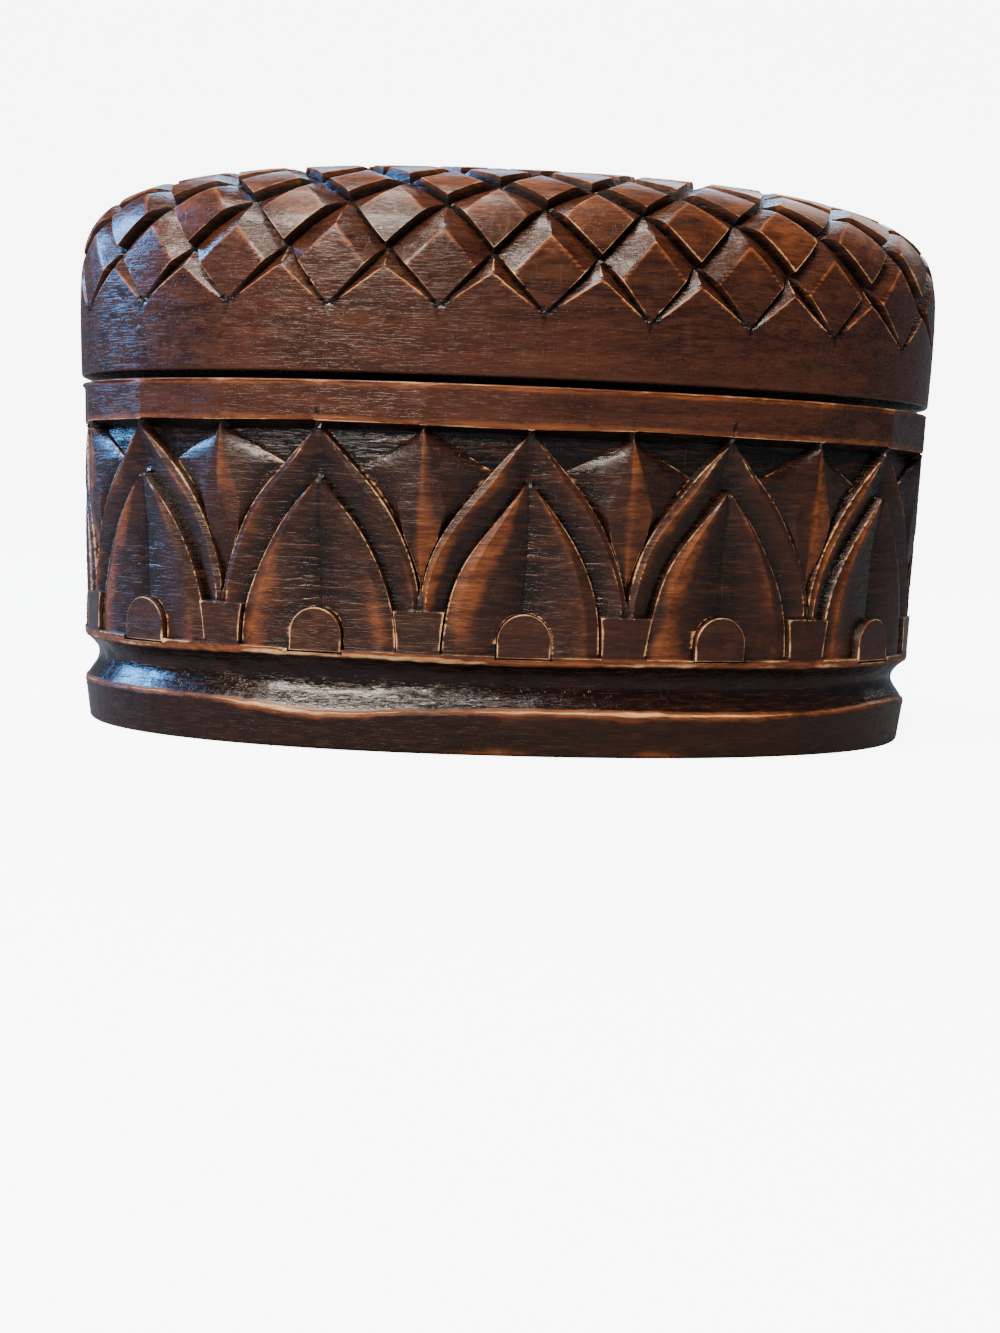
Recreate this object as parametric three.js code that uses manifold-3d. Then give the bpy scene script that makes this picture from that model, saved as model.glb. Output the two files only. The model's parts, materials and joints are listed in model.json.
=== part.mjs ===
// Carved oval wooden trinket box with a hinged lid.
// Millimetres, +Z up, origin in the middle of the underside, front of the box towards -Y.
import * as THREE from 'three';
import { mergeVertices } from 'three/addons/utils/BufferGeometryUtils.js';
import Module from 'manifold-3d';

const wasm = await Module();
wasm.setup();

// Plan outline, the same oval for the body and the lid
const half_width = 75;
const half_depth = 47;
const outline_power = 2.2;
const plain_ring_steps = 72;

// Body heights and walls
const rim_height = 57.6;
const wall = 11;
const floor_thickness = 9;
const inside_fillet = 4;
const fillet_middle = 0.3;
const arris = 0.5;

// Foot moulding and the cove above it
const foot_height = 7.4;
const foot_inset = 1.3;
const foot_edge = 0.8;
const base_inset = 2.1;
const frieze_bottom = 14.7;
const frieze_inset = 1.1;
const cove_depth = 2.1;
const cove_lean = 1.3;
const cove_steps = 5;

// Leaf frieze: pointed arches in pairs, one inside the other, with a petal between each two
const arch_count = 12;
const outer_tip = 52;
const outer_foot = 24.6;
const outer_power = 2.1;
const inner_tip = 44.7;
const inner_half_width = 12.9;
const inner_power = 2.2;
const relief_bottom = 15.9;
const block_top = 22.5;
const petal_slant = 1.7;
const knob_radius = 4.3;
const knob_centre = 18.2;
const band_edge = 52.6;
const band_scallop = 0.8;
const cut_width = 0.4;
const half_way = 0.5;
const leaf_row_shares = [0.15, 0.45, 0.75];

// Carving depths below the plain surface
const ground_depth = 2.1;
const knob_depth = 0.15;
const inner_valley_depth = 1.5;
const inner_ridge_depth = 0.5;
const inner_edge_depth = 1.1;
const inner_ridge_place = 0.55;
const outer_ridge_depth = 0.5;
const outer_edge_depth = 0.9;
const outer_ridge_place = 0.72;
const petal_ridge_depth = 0.25;

// Lid
const lid_gap = 1.2;
const lid_bulge = 0.4;
const lid_height = 35.2;
const crown_height = 22;
const shoulder_power = 4.1;
const lid_thickness = 10;
const lid_inside_round = 7;

// Diamond grooves of the lid: how far below the lid's top the crossings on the side lie,
// then the plan scales of the crossings on the crown
const groove_columns = 24;
const side_row_drops = [25.9, 16.6, 8.5];
const crown_rows = [0.889, 0.78, 0.665, 0.55, 0.44];
const groove_depth = 1.9;
const bevel_share = 0.32;
const edge_share = 0.05;
const panel_crown = 0.3;

// Hinges, let into the rims at the back
const hinge_centre_x = 20;
const hinge_length = 16;
const hinge_setback = 3;
const opening_angle = 100;
const bevel_clearance_angle = 3;
const leaf_thickness = 1;
const leaf_gap = 0.4;
const leaf_width = 5;
const knuckle_radius = 1.7;
const knuckle_count = 3;
const pin_radius = 0.7;
const pin_fit = 0.15;
const fit_gap = 0.3;

// Countersunk screws
const screw_end_distance = 3.5;
const screw_head_radius = 1.4;
const screw_head_height = 0.8;
const screw_shank_radius = 0.7;
const screw_length = 6.5;
const screw_point = 1.5;
const slot_width = 0.35;
const slot_depth = 0.35;
const round_steps = 16;

const hinge_axis_y = half_depth - hinge_setback;
const hinge_axis_z = rim_height + lid_gap / 2;
const lid_bottom = rim_height + lid_gap;
const lid_top = lid_bottom + lid_height;
const shoulder_start = lid_top - crown_height;
const lid_ceiling = lid_top - lid_thickness;
const side_rows = side_row_drops.map((drop) => lid_top - drop);
const screw_spacing = hinge_length - 2 * screw_end_distance;
const bevel_angle = THREE.MathUtils.degToRad((opening_angle + bevel_clearance_angle) / 2);

// Where the oval's parameter stands at a share u of its length, from the front middle towards +X
const outline_samples = 1440;

function ovalPoint(angle, along, across) {
  const s = Math.sin(angle);
  const c = Math.cos(angle);
  const x = along * Math.sign(s) * Math.abs(s) ** (2 / outline_power);
  const y = -across * Math.sign(c) * Math.abs(c) ** (2 / outline_power);
  return [x, y];
}

const outline_length = [0];
for (let i = 1; i <= outline_samples; i += 1) {
  const before = ovalPoint(2 * Math.PI * (i - 1) / outline_samples, half_width, half_depth);
  const after = ovalPoint(2 * Math.PI * i / outline_samples, half_width, half_depth);
  outline_length.push(outline_length[i - 1] + Math.hypot(after[0] - before[0], after[1] - before[1]));
}
const perimeter = outline_length[outline_samples];

function outlineAngle(u) {
  const target = (u - Math.floor(u)) * perimeter;
  let low = 0;
  let high = outline_samples;
  while (high - low > 1) {
    const middle = (low + high) >> 1;
    if (outline_length[middle] <= target) low = middle;
    else high = middle;
  }
  const share = (target - outline_length[low]) / (outline_length[high] - outline_length[low]);
  return 2 * Math.PI * (low + share) / outline_samples;
}

// A point of the oval drawn in by inset and shrunk by scale, at height z
function ringPoint(u, z, inset, scale = 1) {
  const [x, y] = ovalPoint(outlineAngle(u), half_width * scale - inset, half_depth * scale - inset);
  return [x, y, z];
}

// A mesh put together from rings of points, each with its share u of the way round
class Shell {
  constructor() {
    this.positions = [];
    this.faces = [];
  }

  point([x, y, z]) {
    this.positions.push(x, y, z);
    return this.positions.length / 3 - 1;
  }

  triangle(a, b, c) {
    this.faces.push(a, b, c);
  }

  quad(a, b, c, d) {
    this.triangle(a, b, c);
    this.triangle(a, c, d);
  }

  plainRing(z, inset, scale = 1, steps = plain_ring_steps) {
    const ring = [];
    for (let i = 0; i < steps; i += 1) {
      const u = i / steps;
      ring.push({ u, index: this.point(ringPoint(u, z, inset, scale)) });
    }
    return ring;
  }

  // Joins two rings whose points don't have to match, always taking the shorter step round
  zip(first, second) {
    let i = 0;
    let j = 0;
    while (i < first.length || j < second.length) {
      const nextFirst = i < first.length ? (first[i + 1]?.u ?? first[0].u + 1) : Infinity;
      const nextSecond = j < second.length ? (second[j + 1]?.u ?? second[0].u + 1) : Infinity;
      const a = first[i % first.length].index;
      const b = second[j % second.length].index;
      if (nextFirst <= nextSecond) {
        i += 1;
        this.triangle(a, first[i % first.length].index, b);
      } else {
        j += 1;
        this.triangle(a, second[j % second.length].index, b);
      }
    }
  }

  // Joins two rings of the same number of points, one to one
  strip(first, second) {
    for (let i = 0; i < first.length; i += 1) {
      const next = (i + 1) % first.length;
      this.quad(first[i].index, first[next].index, second[next].index, second[i].index);
    }
  }

  zipAll(rings) {
    for (let i = 1; i < rings.length; i += 1) this.zip(rings[i - 1], rings[i]);
  }

  capDown(ring, z) {
    const centre = this.point([0, 0, z]);
    ring.forEach((p, i) => this.triangle(centre, ring[(i + 1) % ring.length].index, p.index));
  }

  capUp(ring, z) {
    const centre = this.point([0, 0, z]);
    ring.forEach((p, i) => this.triangle(p.index, ring[(i + 1) % ring.length].index, centre));
  }

  solid() {
    const geometry = new THREE.BufferGeometry();
    geometry.setAttribute('position', new THREE.Float32BufferAttribute(this.positions, 3));
    geometry.setIndex(this.faces);
    return solidFrom(geometry);
  }
}

function solidFrom(geometry) {
  const bare = geometry.clone();
  bare.deleteAttribute('normal');
  bare.deleteAttribute('uv');
  const merged = mergeVertices(bare, 1e-4);
  return new wasm.Manifold(new wasm.Mesh({
    numProp: 3,
    vertProperties: Float32Array.from(merged.attributes.position.array),
    triVerts: Uint32Array.from(merged.index.array),
  }));
}

function geometryFrom(solid) {
  const mesh = solid.getMesh();
  const geometry = new THREE.BufferGeometry();
  geometry.setAttribute('position', new THREE.Float32BufferAttribute(mesh.vertProperties, 3));
  geometry.setIndex(new THREE.Uint32BufferAttribute(mesh.triVerts, 1));
  geometry.computeVertexNormals();
  return geometry;
}

function blockSolid(x0, x1, y0, y1, z0, z1) {
  const geometry = new THREE.BoxGeometry(x1 - x0, y1 - y0, z1 - z0);
  geometry.translate((x0 + x1) / 2, (y0 + y1) / 2, (z0 + z1) / 2);
  return solidFrom(geometry);
}

// A round solid about the Z axis from a profile of [radius, z] pairs, listed from the bottom up
function turnedSolid(profile) {
  const points = profile.map(([radius, z]) => new THREE.Vector2(radius, z));
  const geometry = new THREE.LatheGeometry(points, round_steps);
  geometry.rotateX(Math.PI / 2);
  return solidFrom(geometry);
}

function barSolid(radius, x0, x1, y, z) {
  const geometry = new THREE.CylinderGeometry(radius, radius, x1 - x0, round_steps);
  geometry.rotateZ(Math.PI / 2);
  geometry.translate((x0 + x1) / 2, y, z);
  return solidFrom(geometry);
}

// Body: inset of the plain outer surface, a slight taper from the rim down to the frieze's foot
function sideInset(z) {
  return frieze_inset * (rim_height - z) / (rim_height - frieze_bottom);
}

const arch_half = perimeter / (2 * arch_count);

function outerHalfWidth(z) {
  const t = THREE.MathUtils.clamp((outer_tip - z) / (outer_tip - outer_foot), 0, 1);
  return arch_half * (1 - (1 - t) ** outer_power);
}

function innerHalfWidth(z) {
  const t = THREE.MathUtils.clamp((inner_tip - z) / (inner_tip - frieze_bottom), 0, 1);
  return inner_half_width * (1 - (1 - t) ** inner_power);
}

function knobHalfWidth(z) {
  if (z <= knob_centre) return knob_radius;
  return Math.sqrt(Math.max(0, knob_radius ** 2 - (z - knob_centre) ** 2));
}

function petalHalfWidth(z) {
  return Math.min(petal_slant * Math.max(0, outer_tip - z), arch_half - outerHalfWidth(z));
}

// Height at which a petal's slanting top edge runs into the arch beside it
function petalCornerHeight() {
  let low = inner_tip;
  let high = outer_tip;
  for (let i = 0; i < 30; i += 1) {
    const z = (low + high) / 2;
    if (petal_slant * (outer_tip - z) > arch_half - outerHalfWidth(z)) low = z;
    else high = z;
  }
  return low;
}

function ramp(value, from, to) {
  return THREE.MathUtils.clamp((value - from) / (to - from), 0, 1);
}

function mix(a, b, share) {
  return a + (b - a) * share;
}

// Depth of the frieze's carving at x across from an arch's middle, at height z
function friezeDepth(x, z) {
  const inner = innerHalfWidth(z);
  const outer = outerHalfWidth(z);
  const knob = knobHalfWidth(z);
  const petal = arch_half - petalHalfWidth(z);
  if (z < block_top && x > inner + cut_width) return 0;
  if (knob > 0 && x < knob) return knob_depth;
  if (x < inner) {
    const ridge = inner * inner_ridge_place;
    if (x < ridge) return mix(inner_valley_depth, inner_ridge_depth, x / ridge);
    return mix(inner_ridge_depth, inner_edge_depth, ramp(x, ridge, inner));
  }
  if (x < outer) {
    const ridge = mix(inner, outer, outer_ridge_place);
    if (x < ridge) return mix(ground_depth, outer_ridge_depth, ramp(x, inner, ridge));
    return mix(outer_ridge_depth, outer_edge_depth, ramp(x, ridge, outer));
  }
  if (x <= petal) return ground_depth;
  return mix(ground_depth, petal_ridge_depth, ramp(x, petal, arch_half));
}

// Places across half an arch where the carving turns, kept apart and in order
function friezeStops(z) {
  const inner = innerHalfWidth(z);
  const outer = outerHalfWidth(z);
  const knob = knobHalfWidth(z);
  const half_cut = cut_width / 2;
  const stops = [
    0,
    knob - half_cut,
    knob + half_cut,
    inner * inner_ridge_place,
    inner - half_cut,
    inner + half_cut,
    mix(inner, outer, outer_ridge_place),
    outer - half_cut,
    outer + half_cut,
    arch_half - petalHalfWidth(z),
    arch_half,
  ];
  for (let i = 1; i < stops.length; i += 1) stops[i] = Math.max(stops[i], stops[i - 1] + half_cut);
  stops[stops.length - 1] = arch_half;
  for (let i = stops.length - 2; i > 0; i -= 1) stops[i] = Math.min(stops[i], stops[i + 1] - half_cut);
  return stops;
}

function friezeRing(shell, z, carved, scallop) {
  const ring = [];
  const half = friezeStops(z);
  const stops = [...half.slice(1).reverse().map((x) => -x), ...half.slice(0, -1)];
  for (let arch = 0; arch < arch_count; arch += 1) {
    for (const x of stops) {
      const u = (arch + x / (2 * arch_half)) / arch_count;
      const depth = carved ? friezeDepth(Math.abs(x), z) : 0;
      const rise = scallop * Math.sin(Math.PI * Math.abs(x) / arch_half);
      ring.push({ u, index: shell.point(ringPoint(u, z + rise, sideInset(z) + depth)) });
    }
  }
  return ring;
}

function bodyShell() {
  const shell = new Shell();
  const foot_rings = [
    shell.plainRing(0, base_inset + foot_edge),
    shell.plainRing(foot_edge, base_inset),
    shell.plainRing(foot_height - foot_edge, foot_inset),
    shell.plainRing(foot_height, foot_inset + foot_edge / 2),
  ];
  for (let i = 1; i < cove_steps; i += 1) {
    const share = i / cove_steps;
    const z = mix(foot_height, frieze_bottom, share);
    const inset = mix(foot_inset, frieze_inset, share) + cove_depth * Math.sin(Math.PI * share ** cove_lean);
    foot_rings.push(shell.plainRing(z, inset));
  }
  shell.capDown(foot_rings[0], 0);
  shell.zipAll(foot_rings);

  const carved_heights = [
    relief_bottom + cut_width,
    mix(relief_bottom, block_top, half_way),
    block_top - cut_width,
    block_top + cut_width,
    ...leaf_row_shares.map((share) => mix(outer_foot, inner_tip, share)),
    inner_tip,
    petalCornerHeight(),
    mix(petalCornerHeight(), outer_tip, half_way),
    outer_tip - cut_width,
  ];
  const frieze_rings = [
    friezeRing(shell, frieze_bottom, false, 0),
    friezeRing(shell, relief_bottom, false, 0),
    ...carved_heights.map((z) => friezeRing(shell, z, true, 0)),
    friezeRing(shell, band_edge - cut_width / 2, true, band_scallop),
    friezeRing(shell, band_edge + cut_width / 2, false, band_scallop),
  ];
  shell.zip(foot_rings.at(-1), frieze_rings[0]);
  for (let i = 1; i < frieze_rings.length; i += 1) shell.strip(frieze_rings[i - 1], frieze_rings[i]);

  const inside_rings = [
    shell.plainRing(rim_height - arris, 0),
    shell.plainRing(rim_height, arris),
    shell.plainRing(rim_height, wall - arris),
    shell.plainRing(rim_height - arris, wall),
    shell.plainRing(floor_thickness + inside_fillet, wall),
    shell.plainRing(floor_thickness + inside_fillet * fillet_middle, wall + inside_fillet * fillet_middle),
    shell.plainRing(floor_thickness, wall + inside_fillet),
  ];
  shell.zip(frieze_rings.at(-1), inside_rings[0]);
  shell.zipAll(inside_rings);
  shell.capUp(inside_rings.at(-1), floor_thickness);
  return shell.solid();
}

// Lid: its outside profile as a length measured up the side and over the shoulder to the middle
const profile_samples = 240;
const crown_end = Math.PI / 2 - 1e-6;
const mean_half = (half_width + half_depth) / 2;

function crownPoint(angle) {
  return {
    scale: Math.cos(angle) ** (2 / shoulder_power),
    z: shoulder_start + crown_height * Math.sin(angle) ** (2 / shoulder_power),
  };
}

const lid_profile = [
  { scale: 1, z: lid_bottom, length: 0 },
  { scale: 1, z: shoulder_start, length: shoulder_start - lid_bottom },
];
for (let i = 1; i <= profile_samples; i += 1) {
  const last = lid_profile.at(-1);
  const next = crownPoint((i / profile_samples) ** 2 * crown_end);
  next.length = last.length + Math.hypot((next.scale - last.scale) * mean_half, next.z - last.z);
  lid_profile.push(next);
}

function profileBetween(test) {
  const i = Math.max(1, lid_profile.findIndex(test));
  return [lid_profile[i - 1], lid_profile[i]];
}

function lengthAtHeight(z) {
  const [low, high] = profileBetween((p) => p.z >= z);
  return mix(low.length, high.length, (z - low.z) / (high.z - low.z));
}

function lengthAtScale(scale) {
  const [low, high] = profileBetween((p) => p.scale <= scale);
  return mix(low.length, high.length, (scale - low.scale) / (high.scale - low.scale));
}

// A point of the lid's outside at share u round and a length up the profile, sunk by depth
function lidPoint(u, length, depth) {
  const [low, high] = profileBetween((p) => p.length >= length);
  const share = (length - low.length) / (high.length - low.length);
  const scale = mix(low.scale, high.scale, share);
  const z = mix(low.z, high.z, share);
  const run = Math.hypot((high.scale - low.scale) * mean_half, high.z - low.z);
  const outward = (high.z - low.z) / run;
  const upward = (low.scale - high.scale) * mean_half / run;
  const swell = lid_bulge * Math.sin(Math.PI * Math.min(1, (length / (2 * (shoulder_start - lid_bottom)))));
  return ringPoint(u, z - depth * upward, depth * outward - swell, scale);
}

const row_lengths = [...side_rows.map(lengthAtHeight), ...crown_rows.map(lengthAtScale)];
const last_row = row_lengths.length - 1;

function lengthAtRow(row) {
  const low = THREE.MathUtils.clamp(Math.floor(row), 0, last_row - 1);
  return mix(row_lengths[low], row_lengths[low + 1], row - low);
}

// Grooves are full depth from the second row of crossings up to the crown, then fade inwards
function grooveDepthAtRow(row) {
  if (row === 0) return 0;
  return groove_depth * mix(1, crown_rows.at(-1), Math.max(0, row - 2) / (last_row - 2));
}

function lidShell() {
  const shell = new Shell();
  const inner_wall = wall + lid_inside_round;
  const lid_rings = [
    shell.plainRing(lid_ceiling, inner_wall),
    shell.plainRing(lid_ceiling - lid_inside_round * fillet_middle, wall + lid_inside_round * fillet_middle),
    shell.plainRing(lid_ceiling - lid_inside_round, wall),
    shell.plainRing(lid_bottom + arris, wall),
    shell.plainRing(lid_bottom, wall - arris),
    shell.plainRing(lid_bottom, arris),
  ];
  shell.capDown(lid_rings[0], lid_ceiling);
  for (const height of [arris, (side_rows[0] - lid_bottom) / 2, side_rows[0] - lid_bottom]) {
    const ring = [];
    for (let i = 0; i < plain_ring_steps; i += 1) {
      const u = i / plain_ring_steps;
      ring.push({ u, index: shell.point(lidPoint(u, height, 0)) });
    }
    lid_rings.push(ring);
  }
  shell.zipAll(lid_rings);
  addDiamonds(shell, lid_rings.at(-1));
  return shell.solid();
}

function addDiamonds(shell, band_ring) {
  const band_step = plain_ring_steps / groove_columns;
  const crossings = [];
  for (let row = 0; row <= last_row; row += 1) {
    const line = [];
    for (let column = 0; column < groove_columns; column += 1) {
      const u = (column + (row % 2) / 2) / groove_columns;
      const bottom = lidPoint(u, lengthAtRow(row), grooveDepthAtRow(row));
      const index = row === 0 ? band_ring[column * band_step].index : shell.point(bottom);
      line.push({ u, index });
    }
    crossings.push(line);
  }
  const at = (row, column) => crossings[row][((column % groove_columns) + groove_columns) % groove_columns].index;

  // A point on a diamond's face: along runs up its lower right edge and across up its lower left edge
  const facePoint = (middle, row, along, across) => shell.point(lidPoint(
    (middle + (along - across) / 2) / groove_columns, lengthAtRow(row - 1 + along + across), 0));
  const near = edge_share;
  const far = 1 - bevel_share;

  // Lower half diamonds, which run out into the plain band
  for (let column = 0; column < groove_columns; column += 1) {
    const top = at(1, column);
    const face_top = facePoint(column + 0.5, 0, far, far);
    const first = column * band_step;
    const band = [];
    for (let i = 0; i <= band_step; i += 1) band.push(band_ring[(first + i) % band_ring.length].index);
    for (let i = 0; i < band_step; i += 1) shell.triangle(band[i], band[i + 1], face_top);
    shell.triangle(band[0], face_top, top);
    shell.triangle(face_top, band[band_step], top);
  }

  // Whole diamonds: steep walls under the two lower edges, wide bevels down from the two upper ones
  for (let row = 1; row <= last_row; row += 1) {
    const shift = row % 2;
    for (let column = 0; column < groove_columns; column += 1) {
      const middle = column + 0.5 + shift / 2;
      const left = at(row, column);
      const right = at(row, column + 1);
      const bottom = at(row - 1, column + shift);
      const face_bottom = facePoint(middle, row, near, near);
      const face_right = facePoint(middle, row, far, near);
      const face_left = facePoint(middle, row, near, far);
      shell.quad(left, bottom, face_bottom, face_left);
      shell.quad(bottom, right, face_right, face_bottom);
      if (row < last_row) {
        const top = at(row + 1, column + shift);
        const face_top = facePoint(middle, row, far, far);
        shell.quad(right, top, face_top, face_right);
        shell.quad(top, left, face_left, face_top);
        shell.quad(face_left, face_bottom, face_right, face_top);
      } else {
        shell.triangle(face_left, face_bottom, face_right);
        shell.quad(right, left, face_left, face_right);
      }
    }
  }

  // Plain oval panel in the middle of the lid
  const panel_length = lengthAtRow(last_row + edge_share * 2);
  const panel_ring = crossings[last_row].map(({ u }) => ({ u, index: shell.point(lidPoint(u, panel_length, 0)) }));
  shell.strip(crossings[last_row], panel_ring);
  shell.capUp(panel_ring, lid_top + panel_crown);
}

// Back bevel: the rims are planed off behind the hinge line, and the two bevels meet as a stop
function backBevel(direction) {
  const reach = half_depth;
  const shape = new THREE.Shape();
  shape.moveTo(0, 0);
  shape.lineTo(reach, -direction * reach * Math.tan(bevel_angle));
  shape.lineTo(reach, direction * reach);
  shape.lineTo(0, direction * reach);
  shape.closePath();
  const geometry = new THREE.ExtrudeGeometry(shape, { depth: 2 * half_width, bevelEnabled: false });
  geometry.translate(0, 0, -half_width);
  geometry.applyMatrix4(new THREE.Matrix4().makeBasis(
    new THREE.Vector3(0, 1, 0), new THREE.Vector3(0, 0, 1), new THREE.Vector3(1, 0, 0)));
  geometry.translate(0, hinge_axis_y, hinge_axis_z);
  return solidFrom(geometry);
}

// direction is -1 for what belongs to the body's rim, and 1 for the lid's rim
const leaf_back_y = hinge_axis_y - knuckle_radius - fit_gap;
const leaf_front_y = leaf_back_y - leaf_width;
const screw_y = (leaf_back_y + leaf_front_y) / 2;
const screw_offsets = [-screw_spacing / 2, screw_spacing / 2];

function span(direction, near, far) {
  const a = hinge_axis_z + direction * near;
  const b = hinge_axis_z + direction * far;
  return [Math.min(a, b), Math.max(a, b)];
}

function hingeMortise(centre_x, direction) {
  const x0 = centre_x - hinge_length / 2 - fit_gap;
  const x1 = centre_x + hinge_length / 2 + fit_gap;
  const leaf_far = leaf_gap / 2 + leaf_thickness + fit_gap;
  const channel = knuckle_radius + fit_gap;
  const leaf_bed = blockSolid(x0, x1, leaf_front_y - fit_gap, hinge_axis_y, ...span(direction, 0, leaf_far));
  const knuckle_bed = blockSolid(x0, x1, hinge_axis_y - channel, hinge_axis_y + channel, ...span(direction, 0, channel));
  return leaf_bed.add(knuckle_bed);
}

function hingeLeaf(centre_x, direction) {
  const start = centre_x - hinge_length / 2;
  const end = centre_x + hinge_length / 2;
  const [z0, z1] = span(direction, leaf_gap / 2, leaf_gap / 2 + leaf_thickness);
  let leaf = blockSolid(start, end, leaf_front_y, leaf_back_y, z0, z1);
  const pitch = hinge_length / knuckle_count;
  for (let i = 0; i < knuckle_count; i += 1) {
    const belongs_to_lid = i % 2 === 1;
    if (belongs_to_lid !== (direction > 0)) continue;
    const x0 = start + i * pitch + (i > 0 ? fit_gap / 2 : 0);
    const x1 = start + (i + 1) * pitch - (i < knuckle_count - 1 ? fit_gap / 2 : 0);
    leaf = leaf.add(blockSolid(x0, x1, leaf_back_y - fit_gap, hinge_axis_y, z0, z1));
    leaf = leaf.add(barSolid(knuckle_radius, x0, x1, hinge_axis_y, hinge_axis_z));
  }
  leaf = leaf.subtract(barSolid(pin_radius + pin_fit, start - 1, end + 1, hinge_axis_y, hinge_axis_z));
  for (const offset of screw_offsets) {
    leaf = leaf.subtract(placedScrewForm(centre_x + offset, direction, fit_gap));
  }
  return leaf;
}

function hingePin(centre_x) {
  return barSolid(pin_radius, centre_x - hinge_length / 2, centre_x + hinge_length / 2, hinge_axis_y, hinge_axis_z);
}

// The screw stands on its point at z = 0 here, grown all round by clearance for its hole
function screwForm(clearance) {
  const head = screw_length - screw_head_height;
  const cover = clearance > 0 ? 1 : 0;
  const profile = [
    [0, -clearance],
    [screw_shank_radius + clearance, screw_point],
    [screw_shank_radius + clearance, head],
    [screw_head_radius + clearance, screw_length],
  ];
  if (cover) profile.push([screw_head_radius + clearance, screw_length + cover]);
  profile.push([0, screw_length + cover]);
  return turnedSolid(profile);
}

function placedScrewForm(x, direction, clearance) {
  const top = hinge_axis_z + direction * leaf_gap / 2;
  const form = screwForm(clearance);
  const turned = direction > 0 ? form.rotate([180, 0, 0]) : form;
  return turned.translate([x, screw_y, top + direction * screw_length]);
}

function hingeScrew(x, direction) {
  const top = hinge_axis_z + direction * leaf_gap / 2;
  const [z0, z1] = direction > 0 ? [top - 1, top + slot_depth] : [top - slot_depth, top + 1];
  const slot = blockSolid(
    x - slot_width / 2, x + slot_width / 2,
    screw_y - screw_head_radius - 1, screw_y + screw_head_radius + 1, z0, z1);
  return placedScrewForm(x, direction, 0).subtract(slot);
}

function fitHinges(wood, direction) {
  let cut = wood.subtract(backBevel(-direction));
  for (const centre_x of [-hinge_centre_x, hinge_centre_x]) {
    cut = cut.subtract(hingeMortise(centre_x, direction));
    for (const offset of screw_offsets) {
      cut = cut.subtract(placedScrewForm(centre_x + offset, direction, fit_gap));
    }
  }
  return cut;
}

const stained_wood = new THREE.MeshStandardMaterial({ color: 0x4a2112, roughness: 0.38, metalness: 0 });
const brass = new THREE.MeshStandardMaterial({ color: 0xb08a45, roughness: 0.35, metalness: 1 });

const box = new THREE.Group();

function addPiece(name, solid, material) {
  const piece = new THREE.Mesh(geometryFrom(solid), material);
  piece.name = name;
  box.add(piece);
}

addPiece('box_body', fitHinges(bodyShell(), -1), stained_wood);
addPiece('lid', fitHinges(lidShell(), 1), stained_wood);
for (const [side, centre_x] of [['left', -hinge_centre_x], ['right', hinge_centre_x]]) {
  addPiece(`hinge_leaf_body_${side}`, hingeLeaf(centre_x, -1), brass);
  addPiece(`hinge_leaf_lid_${side}`, hingeLeaf(centre_x, 1), brass);
  addPiece(`hinge_pin_${side}`, hingePin(centre_x), brass);
  screw_offsets.forEach((offset, i) => {
    addPiece(`screw_body_${side}_${i + 1}`, hingeScrew(centre_x + offset, -1), brass);
    addPiece(`screw_lid_${side}_${i + 1}`, hingeScrew(centre_x + offset, 1), brass);
  });
}

export default box;
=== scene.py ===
# Carved oval trinket box: fine carving, stained and rubbed wood, aged brass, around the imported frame.
# Lengths in this script are millimetres until a mesh, light or camera is made.
import json
import math

import bpy
import numpy as np
from mathutils import Matrix, Vector, kdtree


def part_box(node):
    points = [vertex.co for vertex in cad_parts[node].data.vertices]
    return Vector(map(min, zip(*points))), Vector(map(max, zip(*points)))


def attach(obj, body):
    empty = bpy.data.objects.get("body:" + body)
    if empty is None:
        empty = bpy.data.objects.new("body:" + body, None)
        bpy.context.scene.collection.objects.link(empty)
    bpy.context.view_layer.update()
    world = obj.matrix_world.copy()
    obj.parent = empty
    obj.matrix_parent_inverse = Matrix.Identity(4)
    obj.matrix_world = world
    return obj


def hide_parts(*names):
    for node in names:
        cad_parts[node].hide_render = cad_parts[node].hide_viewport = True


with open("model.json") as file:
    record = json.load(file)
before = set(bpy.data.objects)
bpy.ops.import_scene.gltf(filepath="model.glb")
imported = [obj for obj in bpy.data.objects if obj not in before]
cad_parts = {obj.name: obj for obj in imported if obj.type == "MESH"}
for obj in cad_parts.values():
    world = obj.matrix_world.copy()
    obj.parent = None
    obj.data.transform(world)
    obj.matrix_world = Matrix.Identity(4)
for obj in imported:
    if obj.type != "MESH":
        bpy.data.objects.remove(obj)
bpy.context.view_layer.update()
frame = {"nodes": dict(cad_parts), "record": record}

MM = 0.001


def node_box(node):
    low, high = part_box(node)
    return np.array(low) / MM, np.array(high) / MM


body_low, body_high = node_box("box_body")
lid_low, lid_high = node_box("lid")

# Plan outline and heights, read from the frame
half_width = body_high[0]
half_depth = -body_low[1]
rim_height = body_high[2]
lid_bottom = lid_low[2]
lid_top = lid_high[2]
outline_power = 2.2
wall = 11.0
floor_thickness = 9.0
inside_fillet = 4.0
arris = 0.45

# Foot and cove
foot_height = 7.4
foot_inset = 1.3
base_inset = 2.1
foot_round = 0.8
frieze_bottom = 14.7
frieze_inset = 1.1
cove_depth = 2.1

# Leaf frieze
arch_count = 12
outer_tip = 50.4
outer_foot = 24.6
outer_sweep_end = 19.5
outer_power = 2.1
inner_tip = 43.0
inner_half_width = 12.9
inner_power = 2.2
relief_bottom = 15.9
block_top = 22.5
petal_slant = 1.8
facet_height = 38.5
facet_half_width = 3.7
knob_radius = 4.3
knob_centre = 18.2
band_edge = 51.0
band_scallop = 0.8
ground_depth = 2.1
inner_ridge_place = 0.8
outer_ridge_place = 0.78

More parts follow.
